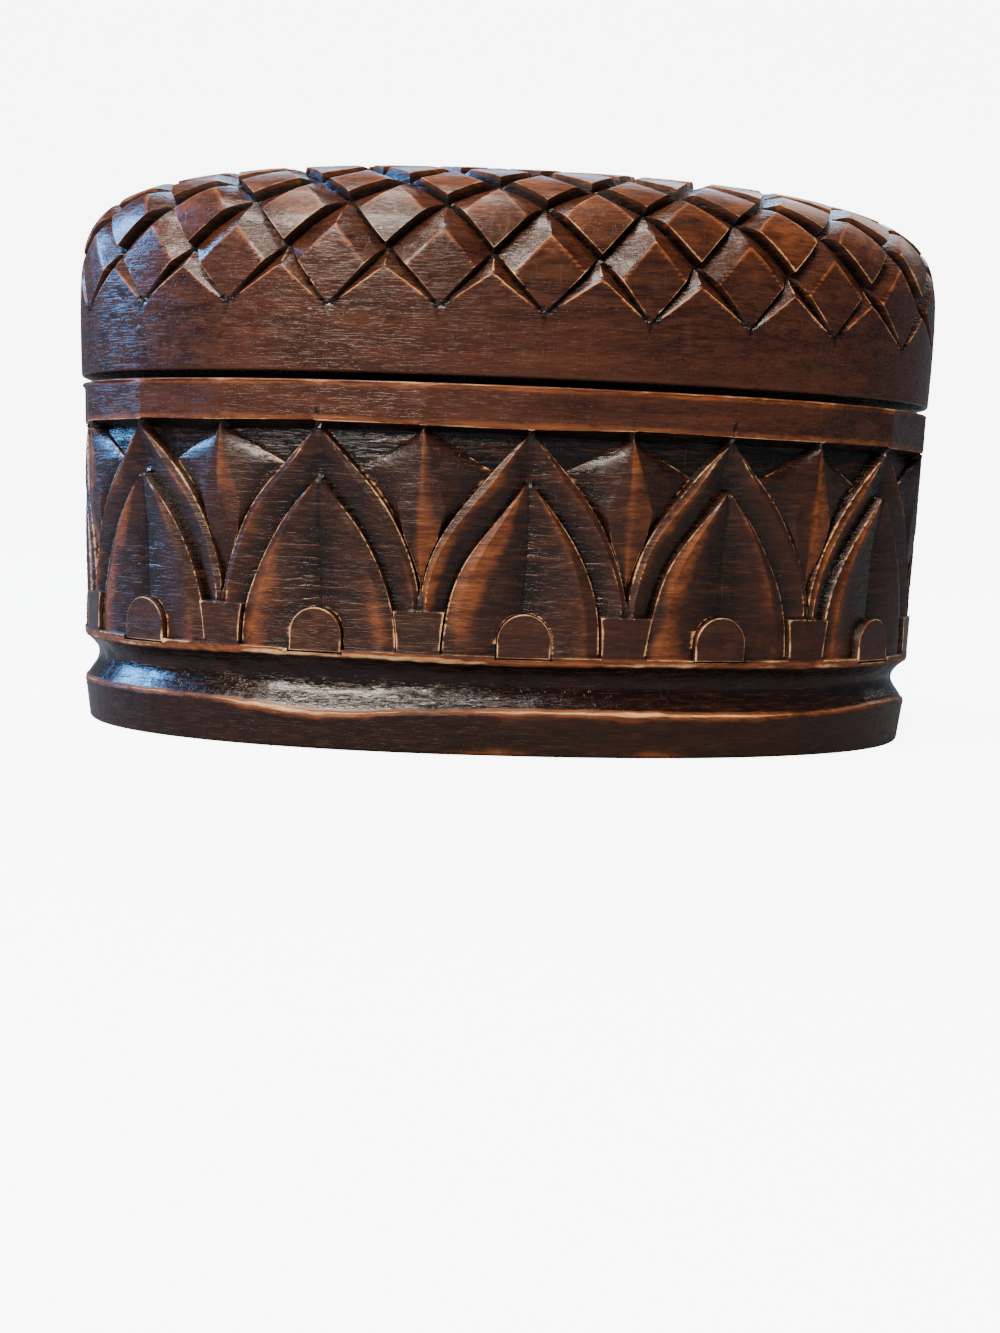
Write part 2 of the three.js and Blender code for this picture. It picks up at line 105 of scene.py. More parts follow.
# Lid
crown_height = 22.0
panel_crown = 0.3
shoulder_power = 4.1
lid_bulge = 0.375
lid_thickness = 10.0
lid_inside_round = 7.0
groove_columns = 24
side_row_drops = (25.9, 16.6, 8.5)
crown_rows = (0.889, 0.78, 0.665, 0.55, 0.44)
groove_depth = 1.9
bevel_share = 0.30
wedge_share = 0.26


# Oval outline, measured by length from the front middle towards the right
OVAL_SAMPLES = 7200


def oval_raw(angle, along, across):
    s = np.sin(angle)
    c = np.cos(angle)
    x = along * np.sign(s) * np.abs(s) ** (2 / outline_power)
    y = -across * np.sign(c) * np.abs(c) ** (2 / outline_power)
    return x, y


sample_angles = np.linspace(0, 2 * np.pi, OVAL_SAMPLES + 1)
sample_x, sample_y = oval_raw(sample_angles, half_width, half_depth)
sample_steps = np.hypot(np.diff(sample_x), np.diff(sample_y))
sample_lengths = np.concatenate([[0], np.cumsum(sample_steps)])
perimeter = sample_lengths[-1]


def oval(u, along, across):
    """Point of the oval with these half axes at a share u of the way round."""
    angle = np.interp((u % 1.0) * perimeter, sample_lengths, sample_angles)
    return oval_raw(angle, along, across)


def mix(a, b, share):
    return a + (b - a) * share


def ramp(value, start, end):
    return np.clip((value - start) / (end - start), 0, 1)


def smooth_ramp(value, start, end):
    t = ramp(value, start, end)
    return t * t * (3 - 2 * t)


def wander(u, v, size, turns, seed):
    """Slow unevenness of hand work: a sum of waves that close round the oval; v is a length in mm."""
    rng = np.random.default_rng(seed)
    total = np.zeros(np.broadcast(u, v).shape)
    for turn in turns:
        phase, slant = rng.uniform(0, 2 * np.pi, 2)
        rise = rng.uniform(-0.16, 0.16)
        total = total + np.sin(2 * np.pi * turn * u + phase + rise * v) * np.cos(slant + rise * v)
    return size * total / math.sqrt(len(turns))


def hump(u, place, width):
    """1 at a place round the oval, falling to 0 about twice the width away."""
    return np.exp(-(((u - place + 0.5) % 1.0 - 0.5) / width) ** 2)


# Meshes

def crease_diagonals(depth):
    """For each cell of the grid, True where its fold runs from its lower left to its upper right."""
    right = np.roll(depth, -1, axis=1)
    rising = np.abs(depth[:-1] - right[1:])
    falling = np.abs(right[:-1] - depth[1:])
    return rising <= falling + 0.06


def closed_skin(name, points, depth):
    """A closed mesh from rows of points, the first and last rows closed to their middle points."""
    rows, columns = points.shape[:2]
    index = np.arange(rows * columns).reshape(rows, columns)
    to_right = np.roll(index, -1, axis=1)
    a, d = index[:-1], index[1:]
    b, c = to_right[:-1], to_right[1:]
    rising = crease_diagonals(depth)[..., None]
    first = np.where(rising, np.stack([a, b, c], -1), np.stack([a, b, d], -1))
    second = np.where(rising, np.stack([a, c, d], -1), np.stack([b, c, d], -1))
    start = rows * columns
    end = start + 1
    low = np.stack([np.full(columns, start), np.roll(index[0], -1), index[0]], -1)
    high = np.stack([index[-1], np.roll(index[-1], -1), np.full(columns, end)], -1)
    faces = np.concatenate([first.reshape(-1, 3), second.reshape(-1, 3), low, high])
    middles = np.array([points[0].mean(axis=0), points[-1].mean(axis=0)])
    vertices = np.concatenate([points.reshape(-1, 3), middles])
    return make_mesh(name, vertices, faces.tolist())


def make_mesh(name, vertices, faces):
    mesh = bpy.data.meshes.new(name)
    mesh.from_pydata((np.asarray(vertices) * MM).tolist(), [], [tuple(face) for face in faces])
    mesh.update()
    piece = bpy.data.objects.new(name, mesh)
    bpy.context.scene.collection.objects.link(piece)
    return piece


def box_mesh(name, low, high):
    x, y, z = zip(low, high)
    corners = [(x[i], y[j], z[k]) for i in (0, 1) for j in (0, 1) for k in (0, 1)]
    faces = [(0, 1, 3), (0, 3, 2), (4, 6, 7), (4, 7, 5), (0, 4, 5), (0, 5, 1),
             (2, 3, 7), (2, 7, 6), (0, 2, 6), (0, 6, 4), (1, 5, 7), (1, 7, 3)]
    return make_mesh(name, corners, faces)


def prism_mesh(name, outline, x0, x1):
    """A prism along X from an outline of (y, z) points, listed anticlockwise seen from +X."""
    count = len(outline)
    corners = [(x1, y, z) for y, z in outline] + [(x0, y, z) for y, z in outline]
    faces = [(0, i, i + 1) for i in range(1, count - 1)]
    faces += [(count, count + i + 1, count + i) for i in range(1, count - 1)]
    for i in range(count):
        j = (i + 1) % count
        faces += [(i, count + i, count + j), (i, count + j, j)]
    return make_mesh(name, corners, faces)


def boolean(piece, cutter, operation="DIFFERENCE"):
    step = piece.modifiers.new("cut", "BOOLEAN")
    step.operation = operation
    step.object = cutter
    step.solver = "MANIFOLD"
    bpy.context.view_layer.objects.active = piece
    bpy.context.view_layer.update()
    bpy.ops.object.modifier_apply(modifier=step.name)
    bpy.data.meshes.remove(cutter.data)


# Hinge line and what is cut for it

hinge_joint = next(j for j in frame["record"]["behaviour"]["joints"] if j["name"] == "lid_hinge")
hinge_y = hinge_joint["pos_m"][1] / MM
hinge_z = hinge_joint["pos_m"][2] / MM
spare_turn = 3
bevel_angle = math.radians((hinge_joint["range_deg"][1] + spare_turn) / 2)
fit_gap = 0.3
leaf_thickness = 1.2
past_rim = 4
screw_hole_half = 1.0


def cut_hinge_seats(piece, owner, direction):
    """Bevels the back of a rim and lets the hinge in; direction is -1 for the body and 1 for the lid."""
    reach = half_depth
    drop = reach * math.tan(bevel_angle)
    apex = (hinge_y, hinge_z)
    back = hinge_y + reach
    if direction < 0:
        outline = [apex, (back, hinge_z - drop), (back, hinge_z + reach), (hinge_y, hinge_z + reach)]
    else:
        outline = [apex, (hinge_y, hinge_z - reach), (back, hinge_z - reach), (back, hinge_z + drop)]
    boolean(piece, prism_mesh("back_bevel", outline, -half_width, half_width))
    for side in ("left", "right"):
        low, high = node_box(f"hinge_leaf_{owner}_{side}")
        knuckle = high[1] - hinge_y + fit_gap
        near = hinge_z - direction * past_rim
        beds = [
            (low[1] - fit_gap, hinge_y, hinge_z + direction * (leaf_thickness + fit_gap)),
            (hinge_y - knuckle, hinge_y + knuckle, hinge_z + direction * knuckle),
        ]
        for y0, y1, far in beds:
            z0, z1 = sorted((near, far))
            boolean(piece, box_mesh("leaf_bed", (low[0] - fit_gap, y0, z0), (high[0] + fit_gap, y1, z1)))
        for i in (1, 2):
            low, high = node_box(f"screw_{owner}_{side}_{i}")
            x, y = ((low + high) / 2)[:2]
            start = (x - screw_hole_half, y - screw_hole_half, low[2] - fit_gap)
            end = (x + screw_hole_half, y + screw_hole_half, high[2] + fit_gap)
            boolean(piece, box_mesh("screw_hole", start, end))


# Body: frieze rows are laid along the carved outlines, so every cut follows a line of the mesh

arch_half = perimeter / (2 * arch_count)
STOP_CELLS = (1, 5, 3, 2, 4, 2, 2, 1, 2, 3, 1, 3)
COVE_ROWS = 18
HALF_COLUMNS = sum(STOP_CELLS)
BODY_COLUMNS = 2 * HALF_COLUMNS * arch_count
CUT = 0.32


def outer_half_width(z):
    """Half the width of an arch; its sweep would close under the foot, so the sides still lean in there."""
    t = np.clip((outer_tip - z) / (outer_tip - outer_sweep_end), 0, 1)
    t_foot = (outer_tip - outer_foot) / (outer_tip - outer_sweep_end)
    share = (1 - (1 - t) ** outer_power) / (1 - (1 - t_foot) ** outer_power)
    return arch_half * np.minimum(share, 1)


def inner_half(z):
    t = np.clip((inner_tip - z) / (inner_tip - frieze_bottom), 0, 1)
    return inner_half_width * (1 - (1 - t) ** inner_power)


def between_stops(values):
    """Fills in the columns between one stop and the next."""
    filled = []
    for i, cells in enumerate(STOP_CELLS):
        filled += [mix(values[:, i], values[:, i + 1], j / cells) for j in range(cells)]
    filled.append(values[:, -1])
    return np.stack(filled, -1)


def frieze_columns(z):
    """Places across half an arch, and the depth, rubbing and roughness there, for each row height z."""
    z = np.asarray(z, float)
    inner = inner_half(z)
    outer = outer_half_width(z)
    petal = np.maximum(arch_half - petal_slant * np.maximum(0, outer_tip - z), outer)
    below_inner = smooth_ramp(inner_tip - z, 0, 11)
    below_outer = smooth_ramp(outer_tip - z, 0, 6)
    above_foot = ramp(z, outer_foot, outer_tip)
    raised = smooth_ramp(inner_tip - z, -0.2, 0.8)
    # Depths of the leaf: its middle valley with a cut down it, its ridge and its edge
    band_start = mix(0.4, 1.75, below_outer)
    valley = mix(band_start, mix(0.5, 1.6, below_inner), raised)
    centre_cut = 0.14 * raised
    centre_cut_half = 0.5
    ridge = mix(band_start, 0.35, raised)
    edge = mix(band_start, mix(0.5, 0.75, below_inner), raised)
    band_ridge = mix(0.3, 0.4, below_outer)
    band_edge_depth = mix(0.35, 0.75, below_outer)
    # Depths of the ground and of the petal with its middle facet
    parted = petal > outer + 0.05
    shoulder = z[parted].min()
    petal_side = mix(2.0, 1.8, ramp(z, outer_foot, shoulder))
    ground = np.where(parted, ground_depth + 0.3, petal_side + 0.2)
    petal_ridge = mix(1.6, 0.1, smooth_ramp(above_foot, 0, 0.55))
    facet_rise = np.minimum(ramp(z, outer_foot - 2, facet_height),
                            ramp(outer_tip - z, 0, outer_tip - facet_height))
    facet_edge = np.maximum(arch_half - facet_half_width * facet_rise, petal + CUT)
    facet_depth = petal_ridge + 0.4 * facet_rise
    crease = 0.09
    # Under the feet of the arches nothing parts them
    open_share = smooth_ramp(z, outer_foot - 0.6, outer_foot + 1.2)
    ground, petal_side, facet_depth, petal_ridge = (
        mix(band_edge_depth, depth, open_share) for depth in (ground, petal_side, facet_depth, petal_ridge))

    # Place across, depth of the carving and how much hands have rubbed it
    stops = [
        (0 * z, valley + centre_cut, 0.0),
        (centre_cut_half + 0 * z, valley, 0.0),
        (np.maximum(inner * inner_ridge_place, centre_cut_half), ridge, 1.05 * raised),
        (inner - CUT / 2, edge, 0.65 * raised),
        (inner + CUT / 2, band_start, 0.0),
        (mix(inner, outer, outer_ridge_place), band_ridge, 0.95),
        (outer - CUT / 2, band_edge_depth, 0.5),
        (outer + CUT / 2, ground, 0.0),
        (petal - CUT / 2, ground, 0.0),
        (petal + CUT / 2, petal_side, 0.15),
        (facet_edge - crease, facet_depth + 0.02, 0.4),
        (facet_edge + crease, facet_depth - 0.02, 0.85 * open_share),
        (arch_half + 0 * z, petal_ridge, 1.05 * open_share),
    ]
    places, depths, rubs = (np.stack([value + 0 * z for value in values], -1) for values in zip(*stops))
    # Every column keeps this much room from the next, so that the stops stay apart and in order
    column_room = 0.03
    room = column_room * np.array([0, *np.cumsum(STOP_CELLS)])
    places = np.maximum.accumulate(np.maximum(places, room), axis=-1)
    places = np.minimum(places, arch_half - (room[-1] - room))
    x = between_stops(places)
    depth = between_stops(depths)
    rubbed = between_stops(rubs) ** 2.5
    on_petal = x > (petal + CUT / 2)[:, None] + 1e-6
    rough = np.where(on_petal, 0.25, 1.0) * depth / ground_depth
    # Low down, between the arches, a plain block is left standing
    flush = (z < block_top)[:, None] & (x > (inner + CUT / 2)[:, None] - 1e-6)
    depth = np.where(flush, 0.06, depth)
    rubbed = np.where(flush, 0.05, rubbed)
    rough = np.where(flush, 0.0, rough)
    return x, depth, rubbed, rough


def whole_round(half):
    """Mirrors half an arch and repeats it all the way round."""
    mirrored = half[:, ::-1][:, :-1]
    one = np.concatenate([mirrored, half[:, :-1]], axis=1)
    return np.tile(one, (1, arch_count))


def side_inset(z):
    return frieze_inset * (rim_height - z) / (rim_height - frieze_bottom)


def knife_marks(x, z):
    """Depth of the cuts that ran past the tips of the arches and petals, into the band."""
    mark_depth = 0.25
    mark_width = 0.14
    rng = np.random.default_rng(71)
    depth = 0 * x
    for arch in range(arch_count):
        one = slice(2 * HALF_COLUMNS * arch, 2 * HALF_COLUMNS * (arch + 1))
        for across in (np.abs(x[one]), arch_half - np.abs(x[one])):
            end = band_edge + rng.uniform(-1.5, 2.2)
            depth[one] += mark_depth * np.exp(-(across / mark_width) ** 2) * (1 - ramp(z, end, end + 1))
    return depth


def quarter_round(radius, angle):
    """How far the point at this angle of a rounded edge is from the edge's first and second face."""
    return radius * (1 - math.sin(angle)), radius * (1 - math.cos(angle))


arch_middle = np.repeat(np.arange(arch_count), 2 * HALF_COLUMNS) / arch_count
body_rows = []


def add_row(u, z, inset, depth, rubbed=0.2, extra_shade=0.0, rough=None):
    """Keeps a row of points round the body, with the values that its wear and its painted shade are made
    from.
    """
    rough = np.abs(depth) / ground_depth if rough is None else rough
    values = (u, z, inset, depth, rubbed, extra_shade, rough)
    body_rows.append([np.broadcast_to(value, (BODY_COLUMNS,)) for value in values])


def edge_shift(u, size, seed):
    return wander(u, 0.0, size, (2, 3, 5, 7, 11), seed)


def frieze_slip(u, z):
    return wander(u, z, 0.35, (5, 9, 14, 23), 21) / perimeter


def add_foot_and_cove(u):
    """The foot with its chipped bottom edge and worn lip, and the cove up to the frieze's lower edge."""
    foot_top = foot_height + edge_shift(u, 0.28, 11) + wander(u, 0.0, 0.07, (37, 61, 97), 16)
    foot_top = foot_top - 1.1 * hump(u, 0.918, 0.03) + 1.0 * hump(u, 0.185, 0.035)
    cove_top = frieze_bottom + edge_shift(u, 0.25, 12) + wander(u, 0.0, 0.12, (41, 67, 103), 17)
    add_row(u, 0.0, base_inset + foot_round, 0)
    chipped = 0.9 * hump(u, 0.058, 0.012) + 0.5 * hump(u, 0.99, 0.02)
    for angle in (0.3, 0.6, 0.9, 1.2):
        inset, rise = quarter_round(foot_round, angle)
        add_row(u, rise, base_inset + inset, 0, 0.7 - 0.4 * angle + chipped)
    for share in (0.3, 0.6, 0.85):
        add_row(u, mix(foot_round, foot_top - 1.5, share), mix(base_inset, foot_inset + 0.15, share), 0, 0.0)
    lip_wear = 0.65 + 0.6 * hump(u, 0.91, 0.03) + 0.7 * hump(u, 0.05, 0.05)
    lip_wear = lip_wear + wander(u, 0.0, 0.3, (11, 19, 37, 61), 14)
    add_row(u, foot_top - 1.5, foot_inset + 0.12, 0, 0.3 * lip_wear)
    add_row(u, foot_top - 0.8, foot_inset, 0, lip_wear - 0.25)
    add_row(u, foot_top - 0.2, foot_inset + 0.12, 0, lip_wear + 0.35)
    add_row(u, foot_top + 0.1, foot_inset + 0.5, 0, lip_wear)
    for i in range(1, COVE_ROWS):
        share = i / COVE_ROWS
        hollow = cove_depth * np.sin(np.pi * share ** 1.15)
        gouged = 1 + wander(u, 2.0 * i, 0.05, (23, 41, 67), 13)
        inset = mix(foot_inset + 0.5, frieze_inset + 0.2, share) + hollow * gouged
        # The cove rows are painted fully dark, as shade
        add_row(u, mix(foot_top + 0.1, cove_top, share), inset, 0, 0.5 - 9 * share, 1.0, 0.3)
    edge_wear = 1.1 + 0.5 * hump(u, 0.94, 0.04) + wander(u, 0.0, 0.4, (7, 13, 29, 43), 15)
    add_row(u, cove_top - 0.15, frieze_inset + 0.25, 0, edge_wear - 0.2)
    add_row(u, cove_top + 0.1, frieze_inset + 0.08, 0, edge_wear + 0.25)
    add_row(u, cove_top + 0.55, side_inset(frieze_bottom), 0, edge_wear)
    add_row(u, relief_bottom, side_inset(relief_bottom), 0, 0.5)


def add_frieze(heights, x, u, depths, rubs, roughs):
    """The carved rows, shifted and deepened a little unevenly, with their rubbed colour stronger on the left
    flanks and weaker on the right, a painted highlight on the side the light comes from.
    """
    for i, z in enumerate(heights):
        shift_z = wander(u[i], z, 0.3, (4, 7, 13, 19), 22) * ramp(z, relief_bottom, relief_bottom + 4)
        uneven = wander(u[i], z * 3, 0.035, (31, 57, 83), 23 + i)
        depth = depths[i] * (1 + wander(u[i], z, 0.12, (3, 8, 17), 24)) + uneven * (depths[i] > 0.1)
        # Painted highlight: the left flanks, which face the light, get more of the rubbed colour and the
        # right flanks less
        lit_flank = 1 - 0.4 * np.sign(x[i])
        rubbed = np.clip(rubs[i] * lit_flank * (0.7 + wander(u[i], z, 0.5, (3, 7, 13, 29), 25)), 0, 1)
        moved_u = u[i] + frieze_slip(u[i], z)
        add_row(moved_u, z + shift_z, side_inset(z) + depth, depth, rubbed, 0.0, roughs[i])


def add_band(x, u):
    """The plain band above the frieze, from its scalloped lower edge up."""
    arching = np.sin(np.pi * (np.abs(x) / arch_half))
    scallop = band_scallop * arching + wander(u, 0.0, 0.4, (9, 16, 31, 53, 89, 131), 31)
    top_u = u + frieze_slip(u, outer_tip)
    inset = side_inset(band_edge)
    add_row(top_u, band_edge - 0.12 + scallop, inset + ground_depth * arching ** 0.5, 1)
    add_row(top_u, band_edge + 0.04 + scallop, inset + 0.45, 0.4)
    add_row(top_u, band_edge + 0.12 + scallop, inset + 0.08, 0, 1.1)
    add_row(top_u, band_edge + 0.5 + scallop, inset, 0, 0.9)
    for share in (0.0, 0.15, 0.3, 0.45, 0.6, 0.85):
        z = mix(band_edge + 1.4, rim_height - arris, share)
        slip = knife_marks(x, z)
        add_row(mix(top_u, u, share), z, side_inset(z) + slip, slip)


def add_rim_and_inside(frieze_u):
    even_u = (np.arange(BODY_COLUMNS) - HALF_COLUMNS) / BODY_COLUMNS
    for angle in (0.0, 0.5, 1.05, math.pi / 2):
        drop, inset = quarter_round(arris, angle)
        u = even_u if angle > 0.6 else mix(frieze_u, even_u, angle)
        add_row(u, rim_height - drop, inset, 0, 1.2)
    add_row(even_u, rim_height, wall / 2, 0)
    for angle in (0.0, 0.8, math.pi / 2):
        inset, drop = quarter_round(arris, angle)
        add_row(even_u, rim_height - drop, wall - inset, 0)
    add_row(even_u, mix(rim_height, floor_thickness, 0.4), wall, 0)
    for angle in (0.0, 0.5, 1.05, math.pi / 2):
        rise, inset = quarter_round(inside_fillet, angle)
        add_row(even_u, floor_thickness + rise, wall + inset, 0)
    add_row(even_u, floor_thickness, wall + inside_fillet + 12, 0)


def body_mesh():
    """Points, depths, and the wear and painted shade values, in rows, from the underside up the outside and
    down to the floor.
    """
    heights = np.concatenate([
        [relief_bottom + 0.25],
        np.linspace(relief_bottom + 0.7, block_top - 0.15, 14),
        np.linspace(block_top + 0.15, outer_tip - 0.3, 66),
    ])
    x, depths, rubs, roughs = (whole_round(half) for half in frieze_columns(heights))
    left_half = np.arange(BODY_COLUMNS) % (2 * HALF_COLUMNS) < HALF_COLUMNS
    x = x * np.where(left_half, -1, 1)
    u = arch_middle + x / (2 * arch_half * arch_count)
    add_foot_and_cove(u[0])
    add_frieze(heights, x, u, depths, rubs, roughs)
    add_band(x[-1], u[-1])
    add_rim_and_inside(u[-1])

    u, z, inset, depth, rubbed, extra_shade, rough = (np.stack(values) for values in zip(*body_rows))
    x, y = oval(u, half_width - inset, half_depth - inset)
    points = np.stack([x, y, np.clip(z, 0, rim_height)], -1)
    # Painted shade: the deeper a cut, the darker it is painted; everything below the band is darkened, and
    # the foot more, as if less light reached it; and the cove rows are painted dark
    hollow_shade = ramp(depth, 0.5, ground_depth) ** 1.4
    lower_shade = 0.52 * (z < band_edge) + 0.24 * (z < foot_height + 1)
    painted_shade = np.clip(hollow_shade + lower_shade + extra_shade, 0, 1)
    return points, depth, {"proud": rubbed, "painted_shade": painted_shade, "cut": np.clip(rough, 0, 1)}


# Lid

PER_COLUMN = 28
PER_ROW = 14
GROOVE_EDGE = 1.0 / PER_COLUMN
mean_half = (half_width + half_depth) / 2
crown_top = lid_top - panel_crown
shoulder_start = crown_top - crown_height
ceiling = crown_top - lid_thickness


def lid_profile():
    """Plan scale and height against length up the side, over the shoulder and in to the middle."""
    angle = np.linspace(0, 1, 900)[1:] ** 2 * (np.pi / 2 - 1e-6)
    scale = np.concatenate([[1, 1], np.cos(angle) ** (2 / shoulder_power)])
    z = np.concatenate([[lid_bottom, shoulder_start],
                        shoulder_start + crown_height * np.sin(angle) ** (2 / shoulder_power)])
    length = np.concatenate([[0], np.cumsum(np.hypot(np.diff(scale) * mean_half, np.diff(z)))])
    return scale, z, length


profile_scale, profile_z, profile_length = lid_profile()
side_straight = shoulder_start - lid_bottom


def at_length(length, values):
    return np.interp(length, profile_length, values)


def lid_points(u, length, depth):
    """Points of the lid's outside at these lengths up its profile, sunk by the depth."""
    scale = at_length(length, profile_scale)
    z = at_length(length, profile_z)
    step = 0.6
    rise = at_length(length + step, profile_z) - at_length(length - step, profile_z)
    draw = at_length(length - step, profile_scale) - at_length(length + step, profile_scale)
    run = np.hypot(rise, draw * mean_half) + 1e-9
    outward = rise / run
    upward = draw * mean_half / run
    swell = lid_bulge * np.sin(np.pi * np.clip(length / (2 * side_straight), 0, 1))
    inset = depth * outward - swell
    x, y = oval(u, (half_width * scale - inset), (half_depth * scale - inset))
    return np.stack([x, y, z - depth * upward], -1)


# The grooves aren't laid out quite evenly. In mm: how far they stand to the right at the front, how far the
# upper rows draw in towards the front, and how far every row runs down towards the right
lattice_lean = 1.5
lattice_draw = 2.0
lattice_tilt = 1.0


def lean_and_tilt(u, row, last_row):
    """How far the grooves lie from even spacing, along and up, fading out towards the panel."""
    front = 0.5 + 0.5 * np.cos(2 * np.pi * u)
    to_right = np.sin(2 * np.pi * u)
    fade = 1 - ramp(row, 3, last_row)
    along = lattice_lean * front - lattice_draw * to_right * ramp(row, 0, 2)
    return along * fade, -lattice_tilt * to_right * fade


def follow_cuts(column, fine_rows):
    """Below the first crossings, moves the nearest point of each row onto each edge of the cuts."""
    grooves = np.arange(groove_columns) - groove_columns // 2
    for i, row in enumerate(fine_rows):
        taken = np.zeros(column.shape[1], bool)
        for place in (row / 2, row / 2 + wedge_share * row, row / 2 - GROOVE_EDGE):
            for side in (1, -1):
                target = grooves + side * place
                nearest = np.floor(target * PER_COLUMN + 0.5).astype(int) % column.shape[1]
                free = ~taken[nearest] & (place >= 0)
                column[i, nearest[free]] = target[free]
                taken[nearest[free]] = True
    return column


def carve_lattice(row, column, last_row):
    """Depth, painted shade and rubbing of the crossing grooves and the diamonds between them."""
    s = row / 2 + column
    t = row / 2 - column
    cell_s = np.floor(s + 1e-7)
    cell_t = np.floor(t + 1e-7)
    a = np.clip(s - cell_s, 0, 1)
    b = np.clip(t - cell_t, 0, 1)
    fade = (0.05 + 0.95 * ramp(row, 0, 0.85)) * mix(1.0, 0.45, ramp(row, 2, last_row))

    # Each groove has a steep wall one column wide and a bevel, whose width differs a little from cell to cell
    around = 2 * np.pi / groove_columns
    wedge = wedge_share * np.clip(row, 0.02, 1)
    below_diamonds = cell_s + cell_t < 0
    uneven_a = 1.4 * np.sin(3 * around * cell_s + cell_t)
    uneven_b = 1.4 * np.cos(2 * around * cell_t + cell_s)
    width_a = GROOVE_EDGE * np.round(bevel_share / GROOVE_EDGE + uneven_a)
    width_b = GROOVE_EDGE * np.round(bevel_share / GROOVE_EDGE + uneven_b)
    width_a = np.where(below_diamonds, wedge, width_a)
    width_b = np.where(below_diamonds, wedge, width_b)
    bevel = np.maximum(ramp(a, 1 - width_a, 1.0), ramp(b, 1 - width_b, 1.0))
    steep = np.maximum(1 - a / GROOVE_EDGE, 1 - b / GROOVE_EDGE)
    depth = groove_depth * fade * np.clip(np.maximum(bevel, steep), 0, 1)
    ring = ramp(row, last_row - 0.25, last_row) * groove_depth * fade
    depth = np.maximum(depth, ring)
    # Painted shade: the steep walls of the grooves are painted dark, and the bevels a little
    painted_shade = np.clip(1.1 * steep, 0, 1) * ramp(row, 0, 0.25) + 0.1 * np.clip(bevel, 0, 1)

    line_half = GROOVE_EDGE / 3
    on_bevel_line = (np.abs(a - 1 + width_a) < line_half) | (np.abs(b - 1 + width_b) < line_half)
    rubbed = mix(0.25, 0.75, ramp(row, 0.5, 3))
    rubbed = np.where(on_bevel_line & (row > 0.2), 1.17, rubbed) * (depth < 0.05)

    # The tops of the diamonds lean, each its own way
    lean_a = 0.12 * np.sin(7.0 * cell_s + 3.1 * cell_t) * (a - 0.5)
    lean_b = 0.12 * np.cos(5.0 * cell_t - cell_s) * (b - 0.5)
    depth = depth + np.abs(lean_a + lean_b) * ramp(row, 0.5, 1.5) * (depth < 0.05)
    return depth, painted_shade, rubbed


def lid_mesh():
    """Points, depths, and the wear and painted shade values, in rows, from the ceiling out, round the rim and
    up to the panel.
    """
    columns = groove_columns * PER_COLUMN
    row_lengths = [np.interp(crown_top - drop, profile_z, profile_length) for drop in side_row_drops]
    row_lengths += [np.interp(-scale, -profile_scale, profile_length) for scale in crown_rows]
    last_row = len(row_lengths) - 1
    half_round = groove_columns / 2
    even_column = (np.arange(columns) / PER_COLUMN + half_round) % groove_columns - half_round
    even_u = even_column / groove_columns

    fine_rows = np.arange(2 * PER_ROW) / (2 * PER_ROW)
    lattice_rows = np.concatenate([fine_rows, 1 + np.arange((last_row - 1) * PER_ROW + 1) / PER_ROW])
    row = lattice_rows[:, None]
    column = follow_cuts(np.repeat(even_column[None, :], len(lattice_rows), axis=0), fine_rows)
    depth, painted_shade, rubbed = carve_lattice(row, column, last_row)

    length = np.interp(lattice_rows, np.arange(last_row + 1), row_lengths)[:, None]
    lattice_u = column / groove_columns
    shift = wander(lattice_u, length, 0.35, (4, 9, 15), 41)
    shift_up = wander(lattice_u, length, 0.35, (3, 7, 16), 42)
    shift_up = shift_up * np.clip(1.2 - ramp(row, 4, last_row), 0, 1)
    calm = 1 - ramp(row, last_row - 0.5, last_row)
    along, up = lean_and_tilt(lattice_u, row, last_row)
    lattice_u = lattice_u + (shift + along) / perimeter
    lattice_length = length + (shift_up + up) * calm
    rows = []

    def add(points, rubs, painted_shades=0.0, depths=0.0):
        rows.append([points, *(np.broadcast_to(value, (columns,)) for value in (rubs, painted_shades, depths))])

    def add_plain(z, inset):
        x, y = oval(even_u, half_width - inset, half_depth - inset)
        add(np.stack([x, y, np.full(columns, z)], -1), 0.3)

    add_plain(ceiling, wall + lid_inside_round + 12)
    for angle in (math.pi / 2, 1.2, 0.8, 0.4, 0.0):
        drop, inset = quarter_round(lid_inside_round, angle)
        add_plain(ceiling - drop, wall + inset)
    for angle in (0.0, 0.8, math.pi / 2):
        rise, inset = quarter_round(arris, angle)
        add_plain(lid_bottom + rise, wall - inset)
    add_plain(lid_bottom, wall / 2)
    for angle in (0.0, 0.5, 1.05):
        inset, rise = quarter_round(arris, angle)
        add_plain(lid_bottom + rise, inset)
    for height in (arris, *np.linspace(0, row_lengths[0], 9)[2:-1]):
        share = ramp(height, arris, row_lengths[0])
        shifted = height + (lattice_length[0] - row_lengths[0]) * share
        add(lid_points(mix(even_u, lattice_u[0], share), shifted, 0.0), 0.25)
    for i in range(len(lattice_rows)):
        add(lid_points(lattice_u[i], lattice_length[i], depth[i]), rubbed[i], painted_shade[i], depth[i])
    middle = profile_length[-1]
    panel = row_lengths[-1] + np.array([0.35, 0.9, 4.0])
    for inwards in (*panel, mix(panel[-1], middle, 0.4), middle - 6):
        flat = lid_points(even_u, np.full(columns, inwards), 0.0)
        flat[:, 2] += panel_crown * ramp(inwards, panel[0], middle)
        add(flat, 0.5)
    points, rubs, painted_shades, depths = (np.stack(values) for values in zip(*rows))
    return points, depths, {"proud": rubs, "painted_shade": painted_shades, "cut": depths / ground_depth}


# Half-round studs at the feet of the arches, each in a cut line of its own

STUD_STEPS = 14


